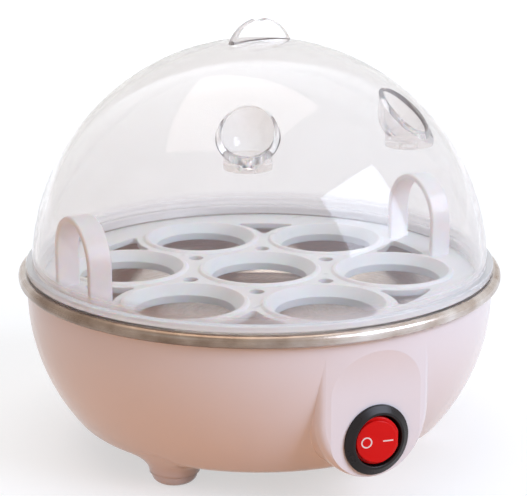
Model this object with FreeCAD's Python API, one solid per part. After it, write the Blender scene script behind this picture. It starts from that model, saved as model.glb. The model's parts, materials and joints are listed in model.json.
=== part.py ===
import FreeCAD, Part
import math
import os

# Egg cooker in millimetres. The origin lies on the cooker's axis in the plane that its feet stand on,
# +Z is up and the switch faces -Y. Bearings count from the front towards +X.

# General fits
FIT = 0.1               # gap between fixed pieces that seat on one another
LIFT_GAP = 0.3          # gap under pieces that lift off
RUNNING_FIT = 0.05      # radial gap of a pivot in its hole

# Base shell
SHELL_RADIUS = 80.1     # outside radius of the bowl at its widest
SHELL_WALL = 2.4
SHELL_HEIGHT = 52.5     # flat bottom to the top of the lip
LIP_HEIGHT = 7.5        # upright part of the wall below the top of the lip
BOWL_ARC = 67.4         # radius of the curved side in section
CORNER_RADIUS = 7.0     # between the curved side and the flat bottom

# Feet
FOOT_HEIGHT = 9.0
FOOT_RADIUS = 8.8
FOOT_DRAFT = 1.4        # how much narrower the foot is at the floor
FOOT_ROUNDING = 3.0
FOOT_INSET = 6.5        # foot centre from the edge of the flat bottom
FOOT_BEARINGS = (60.0, 180.0, 300.0)

# Switch housing on the front of the shell
HOUSING_HALF_WIDTH = 20.5
HOUSING_LIFT = 2.0      # lowest point of the housing above the flat bottom
HOUSING_FLAT = 1.7      # depth of the flat that the switch sits on, below the shell radius
HOUSING_EDGE = 3.0      # rounding of the housing's outline
FLAT_RISE = 31.0        # upright height of that flat above the flat bottom
FLAT_RUNOUT = 57.0      # arc by which the flat runs out into the wall above

# Bottom cover
COVER_FOOT_GAP = 3.35   # between the cover's edge and the feet
COVER_OVERLAP = 7.0
COVER_THICK = 2.0
SPIGOT_WALL = 1.7
SPIGOT_HEIGHT = 4.0
COVER_BEARINGS = (30.0, 150.0, 270.0)
BOSS_RADIUS = 3.4
BOSS_HEIGHT = 12.0
SCREW_RADIUS = 1.4
SCREW_LENGTH = 9.0
SCREW_HEAD_RADIUS = 2.8
SCREW_HEAD_HEIGHT = 1.8
SCREW_CLEARANCE = 0.3
SCREW_HOLE_END = 1.0    # hole beyond the screw's tip
SCREW_SLOT = 1.0        # width and depth of the cross slot

# Water pan
SHEET = 0.6
RIM_OVERHANG = 2.9      # rolled rim beyond the shell radius
RIM_HEIGHT = 4.2
RIM_RETURN_GAP = 0.2    # turned-in edge of the rim from the shell
RIM_ROUNDING = 1.3
THROAT_GAP = 0.5        # between the pan's wall and the shell
SHELF_DROP = 4.9        # tray shelf below the top of the rim
SHELF_WIDTH = 5.0
PAN_DEPTH = 20.0        # top of the rim to the pan's floor
PAN_SLOPE_RUN = 17.6    # radial run of the pan's sloping wall
PAN_BEND = 3.0
SHELF_BEND = 1.0
LIP_BEND = 0.7          # where the throat turns out over the shell's lip

# Egg tray
TRAY_THICK = 2.0
TRAY_GAP = 0.9          # radial gap between tray and pan
SEAT_COUNT = 6
SEAT_CIRCLE = 46.0
SEAT_HOLE = 16.5
SEAT_BEVEL_RUN = 3.1
SEAT_BEVEL_DROP = 3.3
SEAT_LIP_HEIGHT = 0.8
SEAT_LIP_WIDTH = 1.0
SEAT_LIP_SLOPE = 0.8
COLLAR_WALL = 1.6
COLLAR_DROP = 3.0       # collar under the tray
SEAT_LAND = 2.1         # flat ring of plate kept round each seat
TRAY_RING = 13.7        # width of the plain outer ring
GAP_ROUNDING = 1.2
STEAM_HOLE = 2.6
GAP_SPAN = 52.0         # most of the turn that one gap may take up

# Tray handles, one on each side
HANDLE_STRAP = 2.2
HANDLE_DEPTH = 8.0      # strap width in the radial direction
HANDLE_WIDTH = 30.0
HANDLE_HEIGHT = 27.0
HANDLE_INSET = 6.2      # outer face of the strap from the tray's edge
HANDLE_EDGE = 0.7

# Lid
LID_WALL = 2.0
LID_SETBACK = 1.7       # dome radius below the shell radius
FLANGE_REACH = 0.3      # flange radius beyond the shell radius
FLANGE_HEIGHT = 2.4
FLANGE_EDGE = 0.6
DOME_DROP = 0.9         # dome centre below the flange's underside
PLUG_GAP = 0.6          # locating ring inside the pan's throat
PLUG_WALL = 1.6
PLUG_DEPTH = 2.0
LID_TURN = 4.0          # how far the lid is set round from the front

# Vent pockets in the lid
VENT_SPREAD = 36.0
VENT_CIRCLE = 52.6
VENT_BOWL = 8.3
VENT_CUP = 5.7
VENT_CUP_DEPTH = 2.6
VENT_RING_DROP = 1.7    # cup's rim below the dome's surface beside it
VENT_HOLE = 2.4

# Fin grip on the lid, a round upright tab with a dip in its top
FIN_RADIUS = 12.6
FIN_RISE = 7.2          # top of the fin above the dome
FIN_THICK = 3.2
FIN_EDGE = 1.0
FIN_DIP = 0.8
FIN_DIP_RADIUS = 6.0

# Heater under the pan
HEATER_LENGTH = 56.0
HEATER_WIDTH = 24.0
CASE_WALL = 0.8
FILM = 0.3
ELECTRODE = 0.5
CHIP = 2.2
CHIP_LENGTH = 24.0
CHIP_GAP = 1.0
ELECTRODE_INSET = 2.0
TAB_WIDTH = 5.0
TAB_REACH = 8.0
TAB_OFFSET = 6.0
CLAMP_WIDTH = 14.0
CLAMP_THICK = 1.2
CLAMP_STUD_OFFSET = 22.0
CLAMP_END = 6.0         # clamp beyond its stud
CLAMP_STUD = 2.0
STUD_TAIL = 1.5         # stud end below its nut
WASHER_RADIUS = 4.5
WASHER_THICK = 0.8
CLAMP_NUT_FLATS = 7.0
CLAMP_NUT_HEIGHT = 3.2

# Thermostat under the pan
THERMOSTAT_Y = -39.0
CUP_RADIUS = 8.2
CUP_HEIGHT = 3.4
BODY_RADIUS = 7.4
BODY_HEIGHT = 7.0
COLLAR_THICK = 0.8
COLLAR_RADIUS = 9.6
EAR_OFFSET = 12.4
EAR_RADIUS = 3.2
SMALL_STUD = 1.5
SMALL_NUT_FLATS = 5.5
SMALL_NUT_HEIGHT = 2.4
BLADE_OFFSET = 4.5
BLADE_WIDTH = 6.3
BLADE_THICK = 0.8
BLADE_LENGTH = 8.0

# Thermal fuse under the pan
FUSE_Y = 36.0
FUSE_RADIUS = 2.0
FUSE_LENGTH = 10.0
FUSE_WIRE = 0.5
FUSE_REACH = 18.0
SLEEVE_WALL = 0.8
SLEEVE_LENGTH = 15.0
SADDLE_WIDTH = 8.0
SADDLE_SHEET = 0.8
SADDLE_TAB = 11.0
SADDLE_STUD_OFFSET = 10.0

# Rocker switch
SWITCH_RISE = 14.8      # switch centre above the flat bottom
BEZEL_RADIUS = 11.65
BEZEL_HEIGHT = 2.1
BEZEL_EDGE = 0.9        # bezel height at its outer edge
BEZEL_RIDGE = 0.9       # width of the level inner ridge
BEZEL_ROUNDING = 0.35
SWITCH_BORE = 8.5
SWITCH_BODY_WALL = 1.15
SWITCH_DEPTH = 16.0
SWITCH_BACK = 1.6
SNAP_HEIGHT = 1.0
SNAP_LENGTH = 4.5
SNAP_WIDTH = 6.0
ROCKER_TILT = 11.0      # each way from level
ROCKER_RADIUS = 7.95
ROCKER_FACE = 7.0
ROCKER_STEP = 1.0       # raised face above the rocker's shoulder
ROCKER_LEVEL = 2.2      # level face in front of the housing's flat
ROCKER_BACK = 1.6       # rocker behind its pivot
ROCKER_ROUNDING = 0.4
PIVOT_DEPTH = 2.2       # pivot behind the housing's flat
PIVOT_RADIUS = 1.3
PIVOT_INSET = 0.4       # pivot's ends inside the switch body's side
SWEEP_GAP = 0.3         # rocker's swept radius inside the bore
STEM_RADIUS = 2.4
STEM_LENGTH = 6.0
PLUNGER_RADIUS = 1.4
PLUNGER_TIP = 9.0       # tip of the plunger from the pivot
PLUNGER_SEAT = 4.8      # inner end of the plunger from the pivot
SPRING_COIL = 1.0
SPRING_WIRE = 0.2
SPRING_TURNS = 4
SPRING_LENGTH = 2.9
MARK_DEPTH = 0.3
MARK_LINE = 0.45
MARK_RING = 1.85
MARK_BAR = 3.4
MARK_OFF_X = -3.4
MARK_ON_X = 3.8
CONTACT_TILT = 8.0      # each way from level
CONTACT_LENGTH = 11.0
CONTACT_WIDTH = 4.0
CONTACT_THICK = 0.6
CONTACT_GAP = 0.35      # between plunger and blade at mid travel
FULCRUM_GAP = 0.4
TERMINAL_THICK = 0.8
TERMINAL_WIDTH = 4.8
TERMINAL_REACH = 8.0
LOAD_X = -5.0

# Cord gland at the back
GLAND_RISE = 15.0       # gland centre above the flat bottom
GLAND_SEAT = 7.6        # flat that the gland sits on, inside the shell radius
GLAND_WEB = 3.0
GLAND_BOSS = 9.0
GLAND_POCKET = 6.6
GLAND_NECK = 4.4
GLAND_FLANGE = 6.2
GLAND_FLANGE_THICK = 1.8
GLAND_BORE = 3.3
GLAND_ROUNDING = 0.8

# Leads and crimp caps
LEAD_RADIUS = 1.0
BEND_SHARE = 0.45       # share of the shorter run that a lead's bend uses
CAP_RADIUS = 3.0
CAP_LENGTH = 12.0
CAP_BORE_DEPTH = 8.0
CAP_X = 7.0
CAP_Y = 46.0
CAP_Z = 22.0

# Levels and radii that follow from the driving dimensions
BOTTOM_Z = FOOT_HEIGHT
LIP_Z = BOTTOM_Z + SHELL_HEIGHT
WIDEST_Z = LIP_Z - LIP_HEIGHT
FLAT_FALL = WIDEST_Z - BOTTOM_Z - CORNER_RADIUS
FLAT_RADIUS = SHELL_RADIUS - BOWL_ARC + math.sqrt((BOWL_ARC - CORNER_RADIUS) ** 2 - FLAT_FALL ** 2)
RIM_TOP_Z = LIP_Z + FIT + SHEET
RIM_RADIUS = SHELL_RADIUS + RIM_OVERHANG
THROAT_RADIUS = SHELL_RADIUS - SHELL_WALL - THROAT_GAP - SHEET
SHELF_Z = RIM_TOP_Z - SHELF_DROP
SHELF_INNER = THROAT_RADIUS - SHELF_WIDTH
PAN_FLOOR_Z = RIM_TOP_Z - PAN_DEPTH
PAN_FLOOR_RADIUS = SHELF_INNER - PAN_SLOPE_RUN
UNDERSIDE_Z = PAN_FLOOR_Z - SHEET
TRAY_LOW_Z = SHELF_Z + LIFT_GAP
TRAY_TOP_Z = TRAY_LOW_Z + TRAY_THICK
TRAY_RADIUS = THROAT_RADIUS - TRAY_GAP
LID_Z = RIM_TOP_Z + LIFT_GAP
DOME_RADIUS = SHELL_RADIUS - LID_SETBACK
DOME_Z = LID_Z - DOME_DROP
HOUSING_Z = BOTTOM_Z + HOUSING_LIFT + HOUSING_HALF_WIDTH
FLAT_Y = HOUSING_FLAT - SHELL_RADIUS
SWITCH_Z = BOTTOM_Z + SWITCH_RISE
SWITCH_BODY = SWITCH_BORE + SWITCH_BODY_WALL
PIVOT_Y = FLAT_Y + PIVOT_DEPTH
CONTACT_Y = PIVOT_Y + PLUNGER_TIP + CONTACT_GAP + CONTACT_THICK / 2
SWITCH_END_Y = FLAT_Y + SWITCH_DEPTH
TERMINAL_END_Y = SWITCH_END_Y + TERMINAL_REACH
COVER_RADIUS = FLAT_RADIUS - FOOT_INSET - FOOT_RADIUS - COVER_FOOT_GAP
OPENING_RADIUS = COVER_RADIUS - COVER_OVERLAP
COVER_TOP_Z = BOTTOM_Z - FIT
COVER_LOW_Z = COVER_TOP_Z - COVER_THICK
SCREW_CIRCLE = OPENING_RADIUS + BOSS_RADIUS + FIT
CASE_HEIGHT = CHIP + 2 * (ELECTRODE + FILM + CASE_WALL + RUNNING_FIT)
CASE_TOP_Z = UNDERSIDE_Z - FIT
CASE_MID_Z = CASE_TOP_Z - CASE_HEIGHT / 2
CASE_LOW_Z = CASE_TOP_Z - CASE_HEIGHT
FUSE_Z = UNDERSIDE_Z - FIT - FUSE_RADIUS - RUNNING_FIT - SLEEVE_WALL
GLAND_Z = BOTTOM_Z + GLAND_RISE
GLAND_SEAT_Y = SHELL_RADIUS - GLAND_SEAT

V = FreeCAD.Vector
ORIGIN = V(0, 0, 0)
X_AXIS = V(1, 0, 0)
Y_AXIS = V(0, 1, 0)
UP = V(0, 0, 1)


def polar(radius, bearing, z=0.0):
    angle = math.radians(bearing)
    return V(radius * math.sin(angle), -radius * math.cos(angle), z)


def cylinder(radius, low, high, x=0.0, y=0.0):
    return Part.makeCylinder(radius, high - low, V(x, y, low), UP)


def bar_along_y(radius, start, end, x, z):
    return Part.makeCylinder(radius, end - start, V(x, start, z), Y_AXIS)


def bar_along_x(radius, start, end, y, z):
    return Part.makeCylinder(radius, end - start, V(start, y, z), X_AXIS)


def block(x0, x1, y0, y1, z0, z1):
    return Part.makeBox(x1 - x0, y1 - y0, z1 - z0, V(x0, y0, z0))


def turned(shape, degrees, centre=ORIGIN, axis=UP):
    copy = shape.copy()
    copy.rotate(centre, axis, degrees)
    return copy


def moved(shape, x, y, z):
    copy = shape.copy()
    copy.translate(V(x, y, z))
    return copy


def hexagon(across_flats, low, high, x, y):
    corner = across_flats / math.sqrt(3)
    points = [polar(corner, 60 * side, low) + V(x, y, 0) for side in range(7)]
    return Part.Face(Part.makePolygon(points)).extrude(V(0, 0, high - low))


def nut(across_flats, bore, low, high, x, y):
    return hexagon(across_flats, low, high, x, y).cut(cylinder(bore + RUNNING_FIT, low, high, x, y))


def rounded_path(corners):
    """Edges in the XZ plane through (x, z, radius) corners; the two end corners stay sharp."""
    points = [V(x, 0, z) for x, z, radius in corners]
    edges = []
    start = points[0]
    for index in range(1, len(points) - 1):
        corner = points[index]
        radius = corners[index][2]
        if radius == 0:
            edges.append(Part.LineSegment(start, corner).toShape())
            start = corner
            continue
        back = (points[index - 1] - corner).normalize()
        ahead = (points[index + 1] - corner).normalize()
        half = back.getAngle(ahead) / 2
        reach = radius / math.tan(half)
        middle = corner + (back + ahead).normalize() * (radius / math.sin(half) - radius)
        edges.append(Part.LineSegment(start, corner + back * reach).toShape())
        start = corner + ahead * reach
        edges.append(Part.Arc(corner + back * reach, middle, start).toShape())
    edges.append(Part.LineSegment(start, points[-1]).toShape())
    return edges


def lathe(corners):
    """Solid turned about Z from a closed outline of (radius, z, rounding) corners."""
    outline = Part.Wire(rounded_path(corners + [corners[0]]))
    return Part.Face(outline).revolve(ORIGIN, UP, 360)


def direction(start, end):
    return (V(end[0], 0, end[1]) - V(start[0], 0, start[1])).normalize()


def sheet_outline(corners, thickness):
    """Closed outline of bent sheet lying to the right of a path of (x, z, inside bend) corners."""
    runs = [direction(start, end) for start, end in zip(corners, corners[1:])]
    near = []
    far = []
    for (x, z, bend), before, after in zip(corners, runs[:1] + runs, runs + runs[-1:]):
        right_before = V(before.z, 0, -before.x)
        right_after = V(after.z, 0, -after.x)
        offset = (right_before + right_after) * (thickness / (1 + right_before.dot(right_after)))
        outer = bend + thickness
        turns_right = before.cross(after).y > 0
        near.append((x, z, outer if turns_right else bend))
        far.append((x + offset.x, z + offset.z, bend if turns_right else outer))
    edges = rounded_path(near) + rounded_path(far)
    for first, second in ((near[0], far[0]), (near[-1], far[-1])):
        edges.append(Part.makeLine(V(first[0], 0, first[1]), V(second[0], 0, second[1])))
    return Part.Wire(Part.__sortEdges__(edges))


def tube(points, radius):
    """Round solid along straight runs joined by tangent arcs as large as the runs allow."""
    edges = []
    start = points[0]
    for before, corner, after in zip(points, points[1:], points[2:]):
        back = before - corner
        ahead = after - corner
        reach = BEND_SHARE * min(back.Length, ahead.Length)
        back.normalize()
        ahead.normalize()
        half = back.getAngle(ahead) / 2
        bend = reach * math.tan(half)
        middle = corner + (back + ahead).normalize() * (bend / math.sin(half) - bend)
        edges.append(Part.makeLine(start, corner + back * reach))
        start = corner + ahead * reach
        edges.append(Part.Arc(corner + back * reach, middle, start).toShape())
    edges.append(Part.makeLine(start, points[-1]))
    section = Part.Wire(Part.makeCircle(radius, points[0], points[1] - points[0]))
    return Part.Wire(edges).makePipeShell([section], True, False)


def bowl(inset):
    """Solid filling the bowl, with its side and bottom set inwards by the inset."""
    side = BOWL_ARC - inset
    corner = CORNER_RADIUS - inset
    centre_x = SHELL_RADIUS - BOWL_ARC
    low = BOTTOM_Z + inset
    corner_z = low + corner
    fall = WIDEST_Z - corner_z
    corner_x = centre_x + math.sqrt((side - corner) ** 2 - fall ** 2)
    slope = math.atan2(fall, corner_x - centre_x)
    centre = V(centre_x, 0, WIDEST_Z)
    half_slope = V(math.cos(slope / 2), 0, -math.sin(slope / 2))
    meet = centre + V(math.cos(slope), 0, -math.sin(slope)) * side
    steep = (slope + math.pi / 2) / 2
    corner_middle = V(corner_x, 0, corner_z) + V(math.cos(steep), 0, -math.sin(steep)) * corner
    widest = centre + V(side, 0, 0)
    top = V(widest.x, 0, LIP_Z)
    foot = V(corner_x, 0, low)
    edges = [
        Part.makeLine(V(0, 0, LIP_Z), V(0, 0, low)),
        Part.makeLine(V(0, 0, low), foot),
        Part.Arc(foot, corner_middle, meet).toShape(),
        Part.Arc(meet, centre + half_slope * side, widest).toShape(),
        Part.makeLine(widest, top),
        Part.makeLine(top, V(0, 0, LIP_Z)),
    ]
    return Part.Face(Part.Wire(edges)).revolve(ORIGIN, UP, 360)


def housing(inset):
    """Solid shield-shaped housing on the front of the bowl, set inwards by the inset."""
    half = HOUSING_HALF_WIDTH - inset
    reach = SHELL_RADIUS - inset
    tongue = bar_along_y(half, -2 * reach, 0, 0, HOUSING_Z)
    tongue = tongue.fuse(block(-half, half, -2 * reach, 0, HOUSING_Z, WIDEST_Z))
    shape = tongue.removeSplitter().common(cylinder(reach, 0, LIP_Z))
    front = [edge for edge in shape.Edges if on_housing_outline(edge, reach)]
    return shape.makeFillet(HOUSING_EDGE, front)


def on_housing_outline(edge, reach):
    """True for the edges where the housing's curved front meets its sides."""
    samples = edge.discretize(5)
    on_front = all(abs(math.hypot(p.x, p.y) - reach) < FIT for p in samples)
    return on_front and min(p.z for p in samples) < WIDEST_Z - FIT


def switch_flat(inset):
    """Cutter that leaves the upright flat of the housing and its run-out above."""
    y = FLAT_Y + inset
    top = BOTTOM_Z + FLAT_RISE
    slab = block(-HOUSING_HALF_WIDTH, HOUSING_HALF_WIDTH, -2 * SHELL_RADIUS, y, 0, LIP_Z)
    curve = bar_along_x(FLAT_RUNOUT, -SHELL_RADIUS, SHELL_RADIUS, y - FLAT_RUNOUT, top)
    below = block(-SHELL_RADIUS, SHELL_RADIUS, -2 * SHELL_RADIUS, y, 0, top)
    return slab.common(below.fuse(curve))


def foot(inset):
    """Rounded foot standing on the floor at the front, reaching up into the bowl."""
    top = BOTTOM_Z + CORNER_RADIUS
    rounding = FOOT_ROUNDING - inset if FOOT_ROUNDING > inset else 0
    outline = [
        (0, inset, 0),
        (FOOT_RADIUS - FOOT_DRAFT - inset, inset, rounding),
        (FOOT_RADIUS - inset, top, 0),
        (0, top, 0),
    ]
    return moved(lathe(outline), 0, FOOT_INSET - FLAT_RADIUS, 0)


def gland_boss():
    return bar_along_y(GLAND_BOSS, GLAND_SEAT_Y - GLAND_BOSS, GLAND_SEAT_Y, 0, GLAND_Z)


def base_shell():
    outside = bowl(0).fuse(housing(0))
    inside = bowl(SHELL_WALL).fuse(housing(SHELL_WALL))
    for bearing in FOOT_BEARINGS:
        outside = outside.fuse(turned(foot(0), bearing))
        inside = inside.fuse(turned(foot(SHELL_WALL), bearing))
    outside = outside.cut(switch_flat(0))
    inside = inside.cut(switch_flat(SHELL_WALL)).fuse(cylinder(SHELL_RADIUS - SHELL_WALL, WIDEST_Z, LIP_Z))
    shell = outside.cut(inside).fuse(gland_boss().common(bowl(0)))
    shell = shell.cut(cylinder(OPENING_RADIUS, 0, BOTTOM_Z + SHELL_WALL))
    shell = shell.cut(bar_along_y(GLAND_BOSS, GLAND_SEAT_Y, SHELL_RADIUS, 0, GLAND_Z))
    shell = shell.cut(bar_along_y(GLAND_POCKET, 0, GLAND_SEAT_Y - GLAND_WEB, 0, GLAND_Z))
    shell = shell.cut(bar_along_y(GLAND_NECK + FIT, 0, SHELL_RADIUS, 0, GLAND_Z))
    shell = shell.cut(bar_along_y(SWITCH_BODY + FIT, -SHELL_RADIUS, SWITCH_END_Y, 0, SWITCH_Z))
    hole_end = COVER_LOW_Z + SCREW_LENGTH + SCREW_HOLE_END
    for bearing in COVER_BEARINGS:
        spot = polar(SCREW_CIRCLE, bearing)
        shell = shell.fuse(cylinder(BOSS_RADIUS, BOTTOM_Z, BOTTOM_Z + BOSS_HEIGHT, spot.x, spot.y))
        shell = shell.cut(cylinder(SCREW_RADIUS + RUNNING_FIT, 0, hole_end, spot.x, spot.y))
    return shell.removeSplitter()


def bottom_cover():
    cover = cylinder(COVER_RADIUS, COVER_LOW_Z, COVER_TOP_Z)
    spigot = OPENING_RADIUS - FIT
    ring = cylinder(spigot, COVER_TOP_Z, BOTTOM_Z + SPIGOT_HEIGHT)
    cover = cover.fuse(ring.cut(cylinder(spigot - SPIGOT_WALL, COVER_TOP_Z, LIP_Z)))
    for bearing in COVER_BEARINGS:
        spot = polar(SCREW_CIRCLE, bearing)
        cover = cover.cut(cylinder(SCREW_RADIUS + SCREW_CLEARANCE, 0, BOTTOM_Z, spot.x, spot.y))
    return cover.removeSplitter()


def cover_screw(bearing):
    """Pan-head screw with a cross slot, its head under the cover."""
    low = COVER_LOW_Z - SCREW_HEAD_HEIGHT
    screw = cylinder(SCREW_HEAD_RADIUS, low, COVER_LOW_Z)
    screw = screw.fuse(cylinder(SCREW_RADIUS, COVER_LOW_Z, COVER_LOW_Z + SCREW_LENGTH))
    half = SCREW_SLOT / 2
    slot = block(-SCREW_RADIUS, SCREW_RADIUS, -half, half, low, low + SCREW_SLOT)
    screw = screw.cut(slot).cut(turned(slot, 90))
    spot = polar(SCREW_CIRCLE, bearing)
    return moved(screw.removeSplitter(), spot.x, spot.y, 0)


def heating_pan():
    rim_low = RIM_TOP_Z - RIM_HEIGHT
    path = [
        (0, PAN_FLOOR_Z, 0),
        (PAN_FLOOR_RADIUS, PAN_FLOOR_Z, PAN_BEND),
        (SHELF_INNER, SHELF_Z, SHELF_BEND),
        (THROAT_RADIUS, SHELF_Z, SHELF_BEND),
        (THROAT_RADIUS, RIM_TOP_Z, LIP_BEND),
        (RIM_RADIUS, RIM_TOP_Z, RIM_ROUNDING),
        (RIM_RADIUS, rim_low, RIM_ROUNDING),
        (SHELL_RADIUS + RIM_RETURN_GAP, rim_low, 0),
    ]
    return Part.Face(sheet_outline(path, SHEET)).revolve(ORIGIN, UP, 360)


def seat_spots():
    return [ORIGIN] + [polar(SEAT_CIRCLE, 360.0 * seat / SEAT_COUNT) for seat in range(SEAT_COUNT)]


def egg_seat():
    """Turned ring of one seat: collar below, bevel for the egg, raised lip above."""
    top = TRAY_TOP_Z + SEAT_LIP_HEIGHT
    lip_inner = SEAT_HOLE + SEAT_BEVEL_RUN
    lip_outer = lip_inner + SEAT_LIP_WIDTH
    outline = [
        (SEAT_HOLE, TRAY_LOW_Z - COLLAR_DROP, 0),
        (SEAT_HOLE + COLLAR_WALL, TRAY_LOW_Z - COLLAR_DROP, 0),
        (SEAT_HOLE + COLLAR_WALL, TRAY_LOW_Z, 0),
        (lip_outer + SEAT_LIP_SLOPE, TRAY_LOW_Z, 0),
        (lip_outer + SEAT_LIP_SLOPE, TRAY_TOP_Z, 0),
        (lip_outer, top, 0),
        (lip_inner, top, 0),
        (SEAT_HOLE, top - SEAT_BEVEL_DROP, 0),
    ]
    return lathe(outline)


def seat_land_radius():
    return SEAT_HOLE + SEAT_BEVEL_RUN + SEAT_LIP_WIDTH + SEAT_LIP_SLOPE + SEAT_LAND


def steam_gaps():
    """Cutters for the gaps between the outer seats, and the holes round the middle seat."""
    gap = steam_gap()
    middle = SEAT_CIRCLE / math.sqrt(3)
    cutters = []
    for seat in range(SEAT_COUNT):
        cutters.append(turned(gap, 360.0 * seat / SEAT_COUNT))
        spot = polar(middle, 360.0 * (seat + 0.5) / SEAT_COUNT)
        cutters.append(cylinder(STEAM_HOLE, TRAY_LOW_Z, TRAY_TOP_Z, spot.x, spot.y))
    return Part.makeCompound(cutters)


def steam_gap():
    """Cutter between the first two outer seats, outside the line through their centres."""
    start = 180.0 / SEAT_COUNT - 90.0 - GAP_SPAN / 2
    sector = Part.makeCylinder(TRAY_RADIUS - TRAY_RING, TRAY_THICK, V(0, 0, TRAY_LOW_Z), UP, GAP_SPAN)
    inner = SEAT_CIRCLE * math.cos(math.pi / SEAT_COUNT)
    gap = turned(sector, start).cut(cylinder(inner, TRAY_LOW_Z, TRAY_TOP_Z))
    for spot in seat_spots():
        gap = gap.cut(cylinder(seat_land_radius(), TRAY_LOW_Z, TRAY_TOP_Z, spot.x, spot.y))
    upright = [edge for edge in gap.Edges if edge.BoundBox.ZLength > TRAY_THICK - FIT]
    corners = [edge for edge in upright if edge.BoundBox.DiagonalLength < TRAY_THICK + FIT]
    return gap.makeFillet(GAP_ROUNDING, corners)


def tray_handle():
    """Strap handle on the +X side, arched along Y."""
    half = HANDLE_WIDTH / 2
    spring_z = TRAY_TOP_Z + HANDLE_HEIGHT - half
    outer = TRAY_RADIUS - HANDLE_INSET
    inner = outer - HANDLE_DEPTH
    arch = bar_along_x(half, inner, outer, 0, spring_z)
    arch = arch.fuse(block(inner, outer, -half, half, TRAY_LOW_Z, spring_z))
    hollow = half - HANDLE_STRAP
    opening = bar_along_x(hollow, inner, outer, 0, spring_z)
    opening = opening.fuse(block(inner, outer, -hollow, hollow, TRAY_LOW_Z, spring_z))
    lower = block(inner, outer, -half, half, TRAY_LOW_Z - HANDLE_WIDTH, TRAY_LOW_Z)
    strap = arch.cut(opening).cut(lower).removeSplitter()
    rims = [edge for edge in strap.Edges if edge.BoundBox.XLength < FIT and edge.BoundBox.ZMax > TRAY_TOP_Z]
    return strap.makeFillet(HANDLE_EDGE, rims)


def egg_tray():
    tray = cylinder(TRAY_RADIUS, TRAY_LOW_Z, TRAY_TOP_Z)
    lip_outer = SEAT_HOLE + SEAT_BEVEL_RUN + SEAT_LIP_WIDTH
    seat = egg_seat()
    tray = tray.cut(steam_gaps())
    for spot in seat_spots():
        tray = tray.cut(cylinder(lip_outer, TRAY_LOW_Z, TRAY_TOP_Z, spot.x, spot.y))
        tray = tray.fuse(moved(seat, spot.x, spot.y, 0))
    for side in (0, 180):
        tray = tray.fuse(turned(tray_handle(), side))
    return tray.removeSplitter()


def vent_pocket(grow):
    """Goblet-shaped pocket at the front of the dome, grown outwards for the wall round it."""
    ring_z = DOME_Z + math.sqrt(DOME_RADIUS ** 2 - (VENT_CIRCLE + VENT_CUP) ** 2) - VENT_RING_DROP
    bowl_z = ring_z + math.sqrt(VENT_BOWL ** 2 - VENT_CUP ** 2)
    pocket = Part.makeSphere(VENT_BOWL + grow, V(0, -VENT_CIRCLE, bowl_z))
    pocket = pocket.fuse(cylinder(VENT_BOWL + grow, bowl_z, DOME_Z + DOME_RADIUS, 0, -VENT_CIRCLE))
    floor = ring_z - VENT_CUP_DEPTH - grow
    return pocket.fuse(cylinder(VENT_CUP + grow, floor, bowl_z, 0, -VENT_CIRCLE))


def fin():
    """Upright round tab across the top of the dome."""
    top = DOME_Z + DOME_RADIUS + FIN_RISE
    half = FIN_THICK / 2
    disc = bar_along_y(FIN_RADIUS, -half, half, 0, top - FIN_RADIUS)
    rims = [edge for edge in disc.Edges if edge.Closed]
    disc = disc.makeFillet(FIN_EDGE, rims)
    return disc.cut(bar_along_y(FIN_DIP_RADIUS, -half, half, 0, top - FIN_DIP + FIN_DIP_RADIUS))


def lid_dome():
    centre = V(0, 0, DOME_Z)
    flange = SHELL_RADIUS + FLANGE_REACH
    flange_top = LID_Z + FLANGE_HEIGHT
    ledge = LID_Z + FLANGE_HEIGHT / 2
    plug = THROAT_RADIUS - PLUG_GAP
    above = cylinder(flange, ledge, DOME_Z + DOME_RADIUS)
    outline = [
        (0, LID_Z, 0),
        (flange, LID_Z, FLANGE_EDGE),
        (flange, flange_top, FLANGE_EDGE),
        (0, flange_top, 0),
    ]
    outside = Part.makeSphere(DOME_RADIUS, centre).common(above).fuse(lathe(outline))
    outside = outside.fuse(cylinder(plug, LID_Z - PLUG_DEPTH, ledge)).fuse(fin())
    inside = Part.makeSphere(DOME_RADIUS - LID_WALL, centre).common(above)
    inside = inside.fuse(cylinder(plug - PLUG_WALL, LID_Z - PLUG_DEPTH, ledge))
    vents = []
    for bearing in (-VENT_SPREAD, VENT_SPREAD):
        outside = outside.cut(turned(vent_pocket(0), bearing))
        inside = inside.cut(turned(vent_pocket(LID_WALL), bearing))
        spot = polar(VENT_CIRCLE, bearing)
        vents.append(cylinder(VENT_HOLE, LID_Z, DOME_Z + DOME_RADIUS, spot.x, spot.y))
    lid = outside.cut(inside).cut(Part.makeCompound(vents))
    return turned(lid.removeSplitter(), LID_TURN)


def heater_tube(half_length, half_width, half_height, wall):
    outer = block(-half_length, half_length, -half_width, half_width, -half_height, half_height)
    width = half_width - wall
    height = half_height - wall
    inner = block(-half_length, half_length, -width, width, -height, height)
    return moved(outer.cut(inner), 0, 0, CASE_MID_Z)


def heater_case():
    return heater_tube(HEATER_LENGTH / 2, HEATER_WIDTH / 2, CASE_HEIGHT / 2, CASE_WALL)


def film_half_width():
    return HEATER_WIDTH / 2 - CASE_WALL - RUNNING_FIT


def heater_film():
    return heater_tube(HEATER_LENGTH / 2, film_half_width(), CHIP / 2 + ELECTRODE + FILM, FILM)


def heater_electrode(side):
    """Plate above (side 1) or below (side -1) the chips, with a tab beyond the end of the case."""
    length = HEATER_LENGTH / 2
    half = film_half_width() - FILM - RUNNING_FIT
    low = CASE_MID_Z + side * (CHIP + ELECTRODE) / 2 - ELECTRODE / 2
    high = low + ELECTRODE
    plate = block(ELECTRODE_INSET - length, length - ELECTRODE_INSET, -half, half, low, high)
    tab_y = -side * TAB_OFFSET
    half_tab = TAB_WIDTH / 2
    tab = block(0, length + TAB_REACH, tab_y - half_tab, tab_y + half_tab, low, high)
    return plate.fuse(tab).removeSplitter()


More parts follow.
